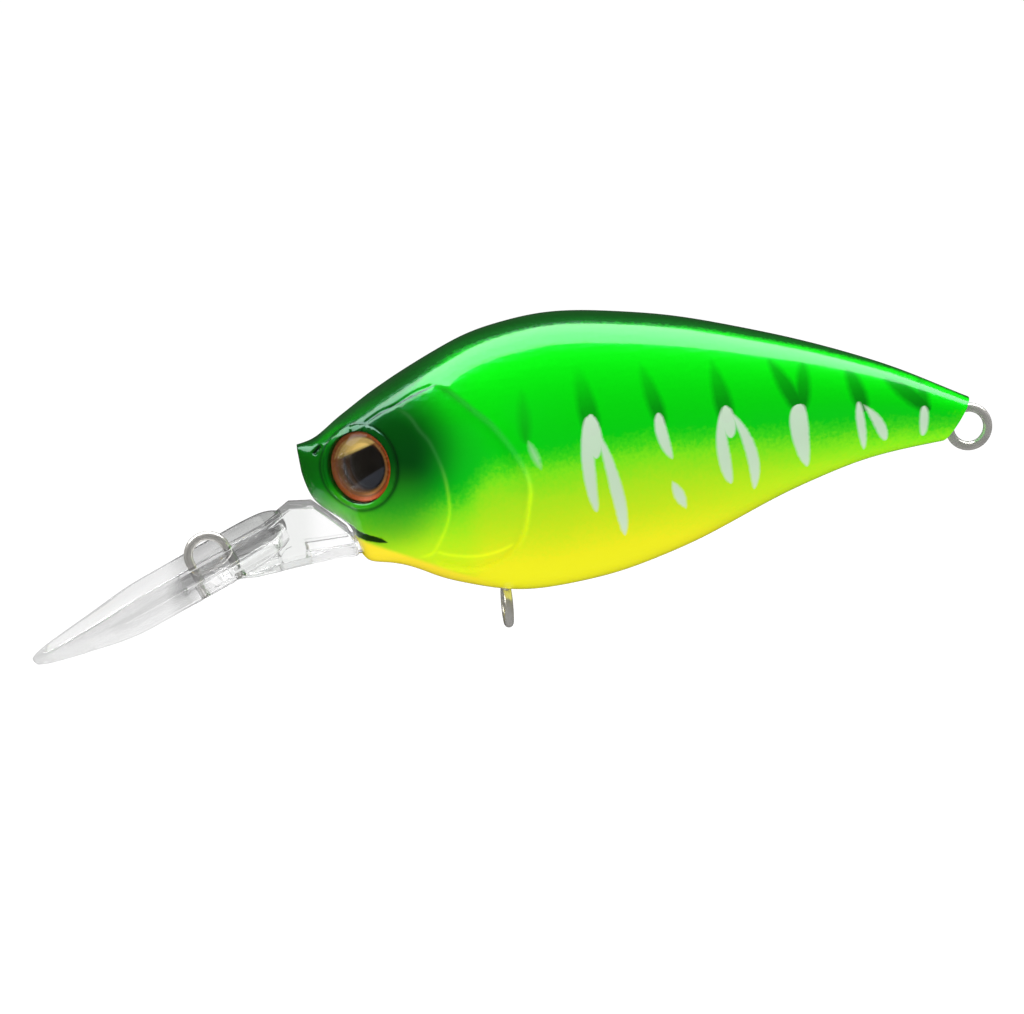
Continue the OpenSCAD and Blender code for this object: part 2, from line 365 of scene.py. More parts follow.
def section_sizes(x, inset=0.0):
    """Top, bottom and half-width of the body at distances behind the nose."""
    top = NOSE.z + eased_line(TOP_LINE, x) - inset
    bottom = NOSE.z + eased_line(BOTTOM_LINE, x) + inset
    return top, bottom, eased_line(SIDE_LINE, x) * HALF_WIDTH - inset


def skin(x, angle, inset=0.0):
    """Places on the body's skin: x behind the nose, angle 0 on the back and 180 on the belly."""
    top, bottom, half = section_sizes(x, inset)
    c, s = np.cos(angle), np.sin(angle)
    power = ROUNDNESS + BROW_ROUNDNESS * np.exp(-(((x - 5.0) / 4.5) ** 2)) * (c > 0)
    r = (np.abs(c) ** power + np.abs(s) ** power) ** (-1 / power)
    return NOSE.x + x, half * r * s, (top + bottom) / 2 + (top - bottom) / 2 * r * c


def near_path(path, x, z, ends):
    """Distance from the smooth path, the side of it, and a share that fades at its ends."""
    d, side, along = distance_to(smooth_path(path), x, z)
    return d, side, np.clip(along / ends, 0, 1) * np.clip((1 - along) / ends, 0, 1)


def edge_step(path, x, z, height, reach, sharp=0.1, ends=0.06):
    """A moulded edge: raised on the left of the path's run and sunk on its right."""
    d, side, fade = near_path(path, x, z, ends)
    return -np.tanh(side * d / sharp) * np.exp(-d / reach) * height * fade


def groove(path, x, z, depth, width, ends=0.05):
    d, _, fade = near_path(path, x, z, ends)
    return -np.exp(-((d / width) ** 2)) * depth * fade


def head_relief(x, z, height):
    return (edge_step(GILL_EDGE, x, z, height, 0.9)
            + edge_step(CHEEK_EDGE, x, z, 0.35 * height, 0.5)
            + edge_step(GILL_FOLD, x, z, -0.3 * height, 0.35)
            + groove(BROW, x, z, 0.5 * height, 0.13)
            + groove(MOUTH, x, z, 0.45, 0.22, 0.15)
            + groove(NOSTRIL, x, z, 0.3, 0.18, 0.2))


def body_form(name, along, around, inset, start, end, relief=0.0):
    """The closed body between two distances behind the nose, drawn in by inset."""
    start_fresh()
    bpy.ops.mesh.primitive_grid_add(x_subdivisions=along, y_subdivisions=2 * around, size=1)
    piece = take(name)
    flat = np.zeros(len(piece.data.vertices) * 3)
    piece.data.vertices.foreach_get("co", flat)
    flat = flat.reshape(-1, 3)
    crowd = 0.9  # how much closer the sections stand at the nose than at the tail
    u = (np.exp(crowd * (flat[:, 0] + 0.5)) - 1) / (math.exp(crowd) - 1)
    angle = 2 * math.pi * (flat[:, 1] + 0.5)
    back = start + u * (end - start)
    x, y, z = skin(back, angle, inset)
    if relief:
        top, bottom, half = section_sizes(back)
        rise = head_relief(x, z, relief) * np.clip(np.abs(y) / 0.6, 0, 1)
        out_y = y / half ** 2
        out_z = (z - (top + bottom) / 2) / ((top - bottom) / 2) ** 2
        size = np.hypot(out_y, out_z) + 1e-9
        y, z = y + rise * out_y / size, z + rise * out_z / size
    place_vertices(piece, np.stack([x, y, z], 1))
    edit(piece)
    whole_mesh()
    bpy.ops.mesh.remove_doubles(threshold=1e-7)
    bpy.ops.mesh.fill_holes(sides=0)
    face_outwards()
    done()
    return piece


def flat_mesh(node, name):
    """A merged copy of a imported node's mesh."""
    twin = copy_of(NODES[node], name)
    twin.parent = None
    twin.matrix_world = Matrix()
    twin.hide_viewport = twin.hide_render = False
    for key in list(twin.keys()):
        del twin[key]
    tidy_normals(twin)
    return twin


EYE_BACK, EYE_HEIGHT, EYE_TURN = 5.5, 7.9, math.radians(35)
EYE_FLOOR, FOIL_RADIUS, PUPIL_RADIUS, HOLLOW_RADIUS = -1.3, 3.39, 2.25, 2.65
FOIL_GOLD = (0.85, 0.6, 0.17)
IRIS = [(FOIL_RADIUS, 0), (FOIL_RADIUS, 0.84), (3.34, 0.88), (3.26, 0.88), (3.16, 0.84),
        (3.0, 0.74), (2.6, 0.6), (2.4, 0.51), (2.3, 0.49)]  # heights over the floor


def eye_frame(side):
    """The frame of an eye in millimetres, +Z out of it: side -1 is the left."""
    out = 0.95 * HALF_WIDTH * float(line_at(SIDE_LINE, np.array([EYE_BACK]))[0])
    turn = Matrix.Rotation(-EYE_TURN, 4, "Z") @ Matrix.Rotation(math.pi / 2, 4, "X")
    left = Matrix.Translation((NOSE.x + EYE_BACK, -out, EYE_HEIGHT)) @ turn
    return left if side < 0 else Matrix.Scale(-1, 4, (0, 1, 0)) @ left


TAIL_EYE = Vector((74.8, 0, 5.85))
TAIL_LOOP, ANCHOR_TURN = 1.9, math.radians(25)
BELLY_EYE = Vector((28.4, 0, -7.55))
BELLY_LOOP = 1.75
PEGS = [(20.5, 12), (40.5, 15.2), (42.5, 0.4), (66, 8.6)]

# Shell: lean of the tail's cut, wall and fits, and profiles of rim, socket, slot and peg
TAIL_LEAN, TAIL_CUT = math.radians(35), 0.8
LEAST_WALL, PAST_SEAM, WIRE_FIT = 0.7, 0.05, 0.04
RIM = [(4.05, -2.5), (4.05, -0.1), (4.02, 0.03), (3.96, 0.12), (3.88, 0.18), (3.8, 0.2)]
SOCKET = [(3.45, EYE_FLOOR), (3.45, -0.12), (3.48, 0.0), (3.56, 0.11), (3.7, 0.18),
          (3.86, 0.21), (3.9, 3.0)]
SLOT_SIDE = [(12.4, -0.9), (20.6, -0.9), (20.6, 0.55), (12.4, 0.55)]
SLOT_HALF, TONGUE_HALF = 2.1, 2.05
PEG = [(0.7, -0.3), (0.7, 1.38), (0.58, 1.5)]


def hanger_ring(name, where, loop, thickness, about):
    """One closed loop of the tail's wire, about Y, or of the belly's, about X."""
    ring = wire_ring(name, loop, thickness)
    return place(ring, Matrix.Translation(where) @ Matrix.Rotation(math.pi / 2, 4, about))


def make_shell(side, settings):
    name = "left" if side < 0 else "right"
    node = name + "_shell"
    shell = body_form(name + "_painted_shell", settings.steps_along, settings.steps_around,
                      0.0, 0.0, BODY_LENGTH, settings.relief / MM)
    edit(shell)
    cut_away((0, 0, 0), (0, side, 0))
    cut_away((NOSE.x + BODY_LENGTH, 0, NOSE.z - TAIL_CUT),
             (math.cos(TAIL_LEAN), 0, -math.sin(TAIL_LEAN)), outer=True)
    face_outwards()
    done()
    rim = place(lathe("rim", RIM, 128), eye_frame(side))
    combine(rim, body_form("near_skin", 160, 60, -0.16, 0.0, 30.0), "INTERSECT")
    combine(shell, rim, "UNION")
    void = body_form("void", 120, 40, LEAST_WALL, 3.0, 63.0)
    edit(void)
    cut_away((0, -side * PAST_SEAM, 0), (0, side, 0))
    face_outwards()
    done()
    combine(void, flat_mesh(node, "plain"), "DIFFERENCE")
    combine(shell, void, "DIFFERENCE")
    combine(shell, place(lathe("socket", SOCKET, 128), eye_frame(side)), "DIFFERENCE")
    combine(shell, prism("slot", SLOT_SIDE, -SLOT_HALF, SLOT_HALF), "DIFFERENCE")
    for eye, loop, about in ((TAIL_EYE, TAIL_LOOP, "X"), (BELLY_EYE, BELLY_LOOP, "Y")):
        ring = hanger_ring("ring", eye, loop, WIRE_RADIUS + WIRE_FIT, about)
        combine(shell, ring, "DIFFERENCE")
    for x, z in PEGS if side < 0 else []:
        out = Matrix.Translation((x, 0, z)) @ Matrix.Rotation(-math.pi / 2, 4, "X")
        combine(shell, place(lathe("peg", PEG, 32), out), "UNION")
    return shell


def line_share(path, x, z, width):
    """1 on the path, fading to 0 past the width."""
    d, _, fade = near_path(path, x, z, 0.08)
    return np.exp(-((d / width) ** 2)) * fade


def socket_share(places):
    """Painted shade: 1 in the creases inside and outside the rim of each eye's socket."""
    share = np.zeros(len(places))
    for side in (-1, 1):
        inverse = np.array(eye_frame(side).inverted())
        local = places @ inverse[:3, :3].T + inverse[:3, 3]
        reach = np.hypot(local[:, 0], local[:, 1])
        near = (local[:, 2] > -2.0) & (local[:, 2] < 1.5)
        for radius, width in ((3.45, 0.06), (4.16, 0.16)):
            share = np.maximum(share, 0.7 * near * np.exp(-(((reach - radius) / width) ** 2)))
    return share


def mark_relief(shell):
    """Stores how strong the painted highlights are along the raised edges and the painted
    shade in the nostril and the creases of the eye sockets.
    """
    count = len(shell.data.vertices)
    co = np.zeros(count * 3)
    shell.data.vertices.foreach_get("co", co)
    x, _, z = co.reshape(-1, 3).T / MM
    ridges = [share * line_share(path, x, z, width) for path, width, share in HIGHLIGHT_LINES]
    marks = {"ridge_highlight": np.maximum.reduce(ridges),
             "groove": np.maximum(line_share(NOSTRIL, x, z, 0.22),
                                  socket_share(co.reshape(-1, 3) / MM))}
    for name, values in marks.items():
        attribute = shell.data.attributes.new(name, "FLOAT", "POINT")
        attribute.data.foreach_set("value", values)


# Materials ----------------------------------------------------------------------------------


class Nodes:
    """Writes a node tree: each method adds one node and returns its output."""

    def __init__(self, tree):
        self.tree = tree

    def add(self, kind, **values):
        node = self.tree.nodes.new(kind)
        for key, value in values.items():
            setattr(node, key, value)
        return node

    def put(self, socket, value):
        if isinstance(value, bpy.types.NodeSocket):
            self.tree.links.new(value, socket)
        else:
            socket.default_value = value

    def feed(self, node, **values):
        """Puts each value on the input of that name."""
        for key, value in values.items():
            self.put(node.inputs[key.replace("_", " ")], value)

    def maths(self, operation, a, b=0.0, c=None, clamp=False):
        node = self.add("ShaderNodeMath", operation=operation, use_clamp=clamp)
        for socket, value in zip(node.inputs, (a, b) if c is None else (a, b, c)):
            self.put(socket, value)
        return node.outputs[0]

    def plus(self, a, b, clamp=False):
        return self.maths("ADD", a, b, clamp=clamp)

    def less(self, a, b, clamp=False):
        """a with b taken away."""
        return self.maths("SUBTRACT", a, b, clamp=clamp)

    def times(self, a, b, more=None, clamp=False):
        """a times b, and more added where it is given."""
        kind = "MULTIPLY" if more is None else "MULTIPLY_ADD"
        return self.maths(kind, a, b, more, clamp)

    def between(self, value, reflection_reach, high):
        """0 at low and 1 at high, eased."""
        node = self.add("ShaderNodeMapRange", interpolation_type="SMOOTHSTEP")
        for socket, number in zip(node.inputs[:3], (value, reflection_reach, high)):
            self.put(socket, number)
        return node.outputs[0]

    def mix(self, share, a, b, blend="MIX"):
        node = self.add("ShaderNodeMix", data_type="RGBA", blend_type=blend)
        self.put(node.inputs[0], share)
        for socket, colour in zip(node.inputs[6:8], (a, b)):
            if not isinstance(colour, bpy.types.NodeSocket):
                colour = (*colour[:3], 1.0)
            self.put(socket, colour)
        return node.outputs[2]

    def ramp(self, value, stops):
        node = self.add("ShaderNodeValToRGB")
        self.put(node.inputs[0], value)
        while len(node.color_ramp.elements) < len(stops):
            node.color_ramp.elements.new(0.5)
        for element, (place_, colour) in zip(node.color_ramp.elements, stops):
            element.position = place_
            element.color = (*colour[:3], 1.0)
        return node.outputs[0]

    def noise(self, vector, scale, detail=2.0, roughness=0.5):
        node = self.add("ShaderNodeTexNoise")
        self.feed(node, Vector=vector, Scale=scale, Detail=detail, Roughness=roughness)
        return node.outputs["Fac"]

    def object_mm(self):
        """The place on the piece in millimetres, whole and split."""
        place_ = self.add("ShaderNodeTexCoord").outputs["Object"]
        big = self.add("ShaderNodeVectorMath", operation="SCALE")
        self.put(big.inputs[0], place_)
        big.inputs["Scale"].default_value = 1 / MM
        split = self.add("ShaderNodeSeparateXYZ")
        self.put(split.inputs[0], big.outputs[0])
        return big.outputs[0], *split.outputs

    def use(self, group, **values):
        node = self.add("ShaderNodeGroup", node_tree=bpy.data.node_groups[group])
        self.feed(node, **values)
        return node.outputs[0]

    def bump(self, height, strength, distance):
        node = self.add("ShaderNodeBump")
        self.feed(node, Strength=strength, Distance=distance * MM, Height=height)
        return node.outputs[0]


def new_group(name, inputs, output):
    """A node group with named numbers in and one value out."""
    tree = bpy.data.node_groups.new(name, "ShaderNodeTree")
    for label, default in inputs:
        kind = "NodeSocketVector" if default is None else "NodeSocketFloat"
        socket = tree.interface.new_socket(label, in_out="INPUT", socket_type=kind)
        if default is not None:
            socket.default_value = default
    tree.interface.new_socket(output, in_out="OUTPUT", socket_type="NodeSocketFloat")
    n = Nodes(tree)
    return n, n.add("NodeGroupInput").outputs, n.add("NodeGroupOutput").inputs[0]


def new_material(name, **values):
    """A material with one glossy shader, whose constants are set on its own sockets."""
    material = bpy.data.materials.new(name)
    material.use_nodes = True
    n = Nodes(material.node_tree)
    shader = material.node_tree.nodes["Principled BSDF"]
    n.feed(shader, **values)
    return material, n, shader


def make_groups():
    if "Brush stripe" in bpy.data.node_groups:
        return
    n, i, out = new_group("Brush stripe", [
        ("X", 0.0), ("Z", 0.0), ("From X", 0.0), ("From Z", 0.0), ("To X", 1.0), ("To Z", 1.0),
        ("Width", 1.0), ("Bend", 0.0), ("Widest", 0.5), ("Blunt", 0.7), ("Softness", 0.2),
        ("Fade", 0.0)], "Mask")
    run_x = n.less(i["To X"], i["From X"])
    run_z = n.less(i["To Z"], i["From Z"])
    from_x = n.less(i["X"], i["From X"])
    from_z = n.less(i["Z"], i["From Z"])
    length2 = n.times(run_x, run_x, n.times(run_z, run_z))
    dot = n.times(from_x, run_x, n.times(from_z, run_z))
    cross = n.less(n.times(from_x, run_z), n.times(from_z, run_x))
    along = n.maths("DIVIDE", dot, length2, clamp=True)
    across = n.maths("DIVIDE", cross, n.maths("SQRT", length2))
    bow = n.times(along, n.less(1.0, along))
    across = n.times(bow, n.times(i["Bend"], 4.0), across)
    warped = n.maths("POWER", along, n.maths("LOGARITHM", 0.5, i["Widest"]))
    hump = n.times(n.times(warped, 4.0), n.less(1.0, warped))
    half = n.times(n.maths("POWER", hump, i["Blunt"]), n.times(i["Width"], 0.5))
    edge = n.maths("DIVIDE", n.less(half, n.maths("ABSOLUTE", across)), i["Softness"], clamp=True)
    shade = n.less(1.0, n.times(i["Fade"], n.less(1.0, along)), clamp=True)
    n.put(out, n.times(edge, shade))

    n, i, out = new_group("Airbrush spot", [
        ("X", 0.0), ("Z", 0.0), ("At X", 0.0), ("At Z", 0.0), ("Inner", 1.0), ("Outer", 2.0),
        ("Stretch", 1.0)], "Mask")
    from_x = n.less(i["X"], i["At X"])
    from_z = n.times(n.less(i["Z"], i["At Z"]), i["Stretch"])
    reach = n.maths("SQRT", n.times(from_x, from_x, n.times(from_z, from_z)))
    n.put(out, n.less(1.0, n.between(reach, i["Inner"], i["Outer"])))

    n, i, out = new_group("Fine wear", [("Vector", None), ("Size", 1.0), ("Amount", 1.0)],
                          "Value")
    node = n.add("ShaderNodeTexNoise")
    n.feed(node, Vector=i["Vector"], Scale=n.maths("DIVIDE", 1.0, i["Size"]), Detail=4.0)
    n.put(out, n.times(n.less(node.outputs["Fac"], 0.5), i["Amount"]))


# Spots sprayed on the head: centre, inner and outer radius, stretch, cover, colour
SPRAYED_SPOTS = [
    ((15.0, 11.0), 4.5, 14.0, 1.15, 0.92, (0.002, 0.2, 0.002)),
    ((17.8, 9.6), 2.2, 7.4, 1.0, 0.96, (0.001, 0.045, 0.002)),
    ((9.4, 8.5), 0.5, 6.0, 0.8, 0.9, (0.003, 0.07, 0.002)),
    ((12.6, 2.2), 0.3, 3.6, 0.8, 0.7, (0.11, 0.5, 0.003)),
    ((17.5, 3.4), 0.8, 6.0, 1.1, 0.6, (0.03, 0.36, 0.006)),
]
# Brush strokes on the flank: from, to, width, bend, where widest, bluntness, fade of the start
PALE_STROKES = [
    ((36.6, 11.3), (36.9, 2.0), 1.5, -0.35, 0.45, 0.4),
    ((37.2, 10.6), (39.6, -0.7), 1.45, 0.35, 0.62, 0.5),
    ((36.9, 11.5), (37.2, 7.2), 1.9, 0.0, 0.5, 0.5),
    ((43.4, 11.0), (44.5, 6.4), 1.4, -0.25, 0.4, 0.5),
    ((44.3, 4.4), (45.7, 1.3), 1.3, 0.0, 0.5, 0.9),
    ((49.7, 10.9), (50.2, 3.3), 1.5, -0.5, 0.6, 0.45),
    ((50.3, 10.6), (52.6, 2.4), 1.4, 0.75, 0.6, 0.45),
    ((50.0, 11.0), (50.4, 7.8), 1.7, 0.0, 0.5, 0.5),
    ((57.2, 10.3), (58.0, 4.0), 2.1, -0.3, 0.32, 0.5),
    ((63.3, 9.9), (63.8, 5.0), 1.15, -0.1, 0.45, 0.45),
    ((63.7, 9.6), (66.0, 5.7), 1.3, 0.25, 0.65, 0.45),
    ((69.95, 8.7), (69.75, 5.7), 1.2, 0.0, 0.45, 0.35),
]
FAINT_STROKES = [((30.8, 9.6), (31.9, 6.6), 1.1, 0.0, 0.5, 0.6)]
DARK_STROKES = [
    ((36.0, 16.9), (37.1, 9.4), 2.4, 0.0, 0.7, 0.3, 1.1),
    ((42.1, 15.9), (43.8, 9.7), 2.0, 0.0, 0.65, 0.3, 0.9),
    ((49.1, 15.6), (50.2, 9.3), 2.3, 0.0, 0.7, 0.3, 0.8),
    ((54.7, 15.0), (57.6, 9.4), 2.1, 0.0, 0.65, 0.3, 0.5),
    ((58.3, 14.6), (57.5, 9.4), 2.0, 0.0, 0.6, 0.35, 0.6),
    ((62.5, 13.5), (63.9, 8.8), 2.1, 0.0, 0.6, 0.3, 0.5),
    ((65.9, 12.2), (70.6, 8.2), 2.1, 0.0, 0.6, 0.35, 0.4),
    ((69.9, 11.4), (69.95, 7.9), 1.8, 0.0, 0.5, 0.35, 0.5),
]
FAINT_DARK_STROKES = [((30.7, 14.6), (30.6, 9.2), 1.8, 0.0, 0.6, 0.4, 0.7)]
# Fine dark lines in the brow groove and the mouth slit, painted shade
CREASE_STROKES = [
    ((15.2, 11.8), (19.0, 13.7), 0.26, 0.0, 0.6, 0.3),
    ((18.2, 13.4), (23.0, 15.3), 0.26, -0.05, 0.4, 0.3),
    ((13.0, 1.85), (17.1, 0.45), 0.8, -0.1, 0.4, 0.5),
]
FLANK_EDGE = [(9.4, 4.2), (20, 4.6), (24, 5.0), (27, 7.2), (33, 7.8), (42, 8.5), (52, 8.0),
              (58, 7.6), (66, 7.2), (74.9, 6.8)]
EDGE_LONG, EDGE_HIGH = 100, 20  # span of the curve that holds the flank's edge
JAW_SLOPE, JAW_HEIGHT = -0.43, 7.05


def body_paint(colours):
    """Airbrushed paint under a clear coat: green flank down to a yellow belly, sprayed head,
    brush strokes, dark back, painted highlights on raised edges and painted shade in grooves."""
    material, n, shader = new_material(
        "Airbrushed body paint", Roughness=0.22, Coat_Weight=0.45, Coat_Roughness=0.04,
        Coat_IOR=1.5, Specular_IOR_Level=0.35, Specular_Tint=(0.2, 1.0, 0.75, 1.0))
    place_, x, y, z = n.object_mm()
    grain = n.use("Fine wear", Vector=place_, Size=0.35, Amount=2.2)
    blotch = n.use("Fine wear", Vector=place_, Size=3.0, Amount=1.2)
    curve = n.add("ShaderNodeFloatCurve")
    n.put(curve.inputs["Value"], n.maths("DIVIDE", x, EDGE_LONG))
    points = curve.mapping.curves[0].points
    for spot, (px, pz) in zip(list(points)[:2], (FLANK_EDGE[0], FLANK_EDGE[-1])):
        spot.location = (px / EDGE_LONG, pz / EDGE_HIGH)
    for px, pz in FLANK_EDGE[1:-1]:
        points.new(px / EDGE_LONG, pz / EDGE_HIGH)
    curve.mapping.update()
    edge = n.times(curve.outputs[0], EDGE_HIGH)
    drop = n.less(n.plus(z, grain), edge)
    drop = n.plus(drop, blotch)
    share = n.maths("DIVIDE", n.plus(drop, 14.0), 20.0, clamp=True)
    flank, lime, belly = colours.flank, colours.lime, colours.belly
    paint = n.ramp(share, [
        (0.0, belly), (0.2, belly), (0.35, (0.64, 0.85, 0.001)), (0.5, (0.46, 0.87, 0.001)),
        (0.625, lime), (0.69, (0.05, 0.74, 0.001)), (0.75, flank), (1.0, flank)])

    for (at_x, at_z), inner, outer, stretch, cover, spray in SPRAYED_SPOTS:
        spot = n.use("Airbrush spot", X=x, Z=z, At_X=at_x, At_Z=at_z, Inner=inner,
                     Outer=outer, Stretch=stretch)
        paint = n.mix(n.times(spot, cover), paint, spray)

    # lower jaw in warm yellow below the mouth
    jaw = n.less(n.times(x, JAW_SLOPE, JAW_HEIGHT), z)
    jaw = n.times(n.between(jaw, -0.25, 0.35), n.less(1.0, n.between(x, 21.0, 31.0)))
    paint = n.mix(jaw, paint, colours.chin)

    hand_x = n.times(grain, 0.06, n.times(blotch, 0.15, x))
    hand_z = n.times(grain, 0.08, z)

    def strokes(paint, table, colour, strength, softness):
        total = None
        for stroke in table:
            (ax, az), (bx, bz), width, bend, widest, blunt, *fade = stroke
            mask = n.use("Brush stripe", X=hand_x, Z=hand_z, From_X=ax, From_Z=az, To_X=bx,
                         To_Z=bz, Width=width, Bend=bend, Widest=widest, Blunt=blunt,
                         Softness=softness, Fade=fade[0] if fade else 0.0)
            total = mask if total is None else n.maths("MAXIMUM", total, mask)
        return n.mix(n.times(total, strength), paint, colour)

    paint = strokes(paint, DARK_STROKES, (0.001, 0.17, 0.002), 0.97, 0.6)
    paint = strokes(paint, FAINT_DARK_STROKES, (0.003, 0.35, 0.003), 0.8, 0.7)
    paint = strokes(paint, PALE_STROKES, colours.stripe, 0.95, 0.3)
    paint = strokes(paint, FAINT_STROKES, colours.stripe, 0.45, 0.5)

    # back: dark where the skin faces up
    normal = n.add("ShaderNodeTexCoord").outputs["Normal"]
    up = n.add("ShaderNodeSeparateXYZ")
    n.put(up.inputs[0], normal)
    level = n.plus(up.outputs[2], n.times(grain, 0.03))
    level = n.times(n.between(x, 30.0, 18.0), 0.09, level)
    seam = n.times(n.between(n.maths("ABSOLUTE", y), 0.2, 0.05),
                   n.between(n.less(z, edge), 0.0, 2.0))
    level = n.maths("MAXIMUM", level, seam)
    paint = n.mix(n.between(level, 0.8, 0.9), paint, [2 * c for c in colours.back])
    paint = n.mix(n.between(level, 0.88, 0.97), paint, colours.back)

    # painted highlights on raised edges and painted shade in grooves and creases
    ridge_highlight = n.add("ShaderNodeAttribute", attribute_name="ridge_highlight").outputs["Fac"]
    crease_shade = n.add("ShaderNodeAttribute", attribute_name="groove").outputs["Fac"]
    high = n.between(z, 4.0, 9.0)
    highlight_share = n.times(high, -0.45, 0.65)
    highlight_tint = n.mix(high, (0.36, 0.34, 0.0), (0.1, 0.3, 0.12))
    # painted highlight where the raised edges catch the light: yellow low down, pale green higher
    paint = n.mix(n.times(ridge_highlight, highlight_share), paint, n.mix(1.0, paint, highlight_tint, "ADD"))
    # painted shade in the nostril and the creases round the eye sockets
    paint = n.mix(crease_shade, paint, (0.002, 0.012, 0.002))
    # painted shade in the brow groove and the mouth slit
    paint = strokes(paint, CREASE_STROKES, (0.001, 0.012, 0.001), 0.95, 0.12)

    # scales under the clear coat, and orange peel in it
    scales = n.add("ShaderNodeTexVoronoi", feature="F1", distance="EUCLIDEAN")
    n.feed(scales, Vector=place_, Scale=1.35, Randomness=0.35)
    peel = n.noise(place_, 1.2, 1.0)
    upper = n.times(n.between(level, 0.3, 0.75), n.times(n.between(x, 20.0, 45.0), -0.8, 1.0))
    depth = n.times(upper, 1.1, 0.35)
    height = n.times(scales.outputs["Distance"], depth, peel)
    n.feed(shader, Base_Color=paint, Normal=n.bump(height, 0.25, 0.08))
    return material


def clear_plastic(name, colour, roughness, ior, ripple, cover):
    """Clear plastic, whose cover is how solid it looks ahead of the lip's neck and from there
    back. Only the neck is painted grey, as painted shade for the shading seen through it."""
    material, n, shader = new_material(
        name, Transmission_Weight=1.0, IOR=ior, Metallic=0.0)
    place_, x, _, _ = n.object_mm()
    alpha = n.times(n.between(x, -4.5, -1.5), cover[1] - cover[0], cover[0])
    haze = n.use("Fine wear", Vector=place_, Size=6.0, Amount=0.03)
    # painted shade: grey on the thick neck, with a faint random mottle
    neck_shade = n.mix(n.noise(place_, 0.2), colour, [c * 0.97 for c in colour])
    neck = n.times(n.between(x, 0.0, 4.0), n.less(1.0, n.between(x, 9.0, 11.5)))
    n.feed(shader, Alpha=alpha, Roughness=n.plus(haze, roughness, clamp=True),
           Normal=n.bump(n.noise(place_, 0.12, 2.0), ripple, 0.6),
           Base_Color=n.mix(neck, (1, 1, 1), neck_shade))
    return material


def metal(name, bright, dull, roughness, metallic=1.0, grain=0.25, scratch=0.06):
    material, n, shader = new_material(name, Metallic=metallic)
    place_, _, _, _ = n.object_mm()
    wear = n.use("Fine wear", Vector=place_, Size=grain, Amount=1.6)
    stain = n.use("Fine wear", Vector=place_, Size=6 * grain, Amount=1.6)
    share = n.plus(n.plus(wear, stain), 0.5, clamp=True)
    rough = n.times(share, -0.5 * roughness, 1.25 * roughness, clamp=True)
    n.feed(shader, Base_Color=n.mix(share, dull, bright), Roughness=rough,
           Normal=n.bump(wear, scratch, 0.05))
    return material


def from_axis(n, side):
    """Distance of the place from the eye's axis, and its angle round it, as the eye sees it."""
    frame_ = eye_frame(side)
    place_ = n.add("ShaderNodeTexCoord").outputs["Object"]
    parts = []
    for axis in (frame_.col[0].xyz, frame_.col[1].xyz):
        dot = n.add("ShaderNodeVectorMath", operation="DOT_PRODUCT")
        n.put(dot.inputs[0], place_)
        dot.inputs[1].default_value = axis / MM
        parts.append(n.less(dot.outputs["Value"], frame_.translation.dot(axis)))
    a, b = parts
    reach = n.maths("SQRT", n.times(a, a, n.times(b, b)))
    return reach, n.maths("ARCTAN2", b, a)


def crescent(n, reach, angle):
    """Mask of the gold foil above and before the pupil, with a straight edge."""
    lean = n.maths("COSINE", n.less(angle, math.radians(111)))
    return n.between(n.times(reach, lean), 1.5, 1.62)


def iris_foil(side):
    """Copper foil ring, gold towards the pupil, fine rays round it, painted shade on one side."""
    material, n, shader = new_material(
        f"Iris foil {'left' if side < 0 else 'right'}", Metallic=0.3, Coat_Weight=0.2,
        Coat_Roughness=0.05)
    reach, angle = from_axis(n, side)
    paint = n.ramp(n.maths("DIVIDE", reach, 3.5, clamp=True), [
        (0.0, (0.01, 0.006, 0.003)), (0.68, (0.012, 0.006, 0.003)), (0.73, (0.4, 0.2, 0.05)),
        (0.78, (0.5, 0.16, 0.02)), (0.82, (0.06, 0.012, 0.003)), (0.87, (0.62, 0.1, 0.003)),
        (0.95, (0.5, 0.07, 0.002)), (0.99, (0.05, 0.02, 0.004))])
    # painted shade: the foil turns brown towards one side, away from the light
    lit_side = n.times(n.maths("COSINE", n.plus(angle, 0.5)), 0.5, 0.5)
    paint = n.mix(n.less(0.8, lit_side, clamp=True), paint, (0.25, 0.09, 0.02))
    inner = n.less(1.0, n.between(reach, 2.7, 2.85))
    paint = n.mix(n.times(crescent(n, reach, angle), inner), paint, FOIL_GOLD)
    rays = n.noise(n.times(angle, 40.0), 1.0, 2.0)
    paint = n.mix(n.times(rays, 0.3), paint, (0.5, 0.3, 0.1), "MULTIPLY")
    n.feed(shader, Base_Color=paint, Roughness=n.times(rays, 0.12, 0.2),
           Normal=n.bump(rays, 0.1, 0.05))
    return material


def pupil_enamel(side):
    """Black enamel that lets the foil show above and before it, and a painted reflection below.
    """
    material, n, shader = new_material(
        f"Pupil enamel {'left' if side < 0 else 'right'}", Specular_IOR_Level=0.1)
    place_, _, _, _ = n.object_mm()
    reach, angle = from_axis(n, side)
    cloud = n.noise(place_, 0.4, 3.0)
    paint = n.mix(cloud, (0.004, 0.003, 0.002), (0.012, 0.009, 0.006))
    # painted reflection: blue-grey on the pupil's lower part, for the surroundings mirrored in
    # the dome
    reflection_reach = n.times(reach, n.maths("COSINE", n.plus(angle, 1.08)))
    paint = n.mix(n.times(n.between(reflection_reach, 1.0, 1.2), 0.8), paint, (0.05, 0.055, 0.07))
    gold = crescent(n, reach, angle)
    n.feed(shader, Base_Color=n.mix(gold, paint, FOIL_GOLD), Metallic=n.times(gold, 0.25),
           Roughness=n.times(cloud, 0.1, 0.25), Normal=n.bump(cloud, 0.05, 0.05))
    return material


# Operators ----------------------------------------------------------------------------------


class CrankbaitOperator:
    """An operator that builds some pieces of the scene."""

    bl_options = {"REGISTER", "UNDO"}

    def execute(self, context):
        make_groups()
        self.build(context.scene)
        return {"FINISHED"}


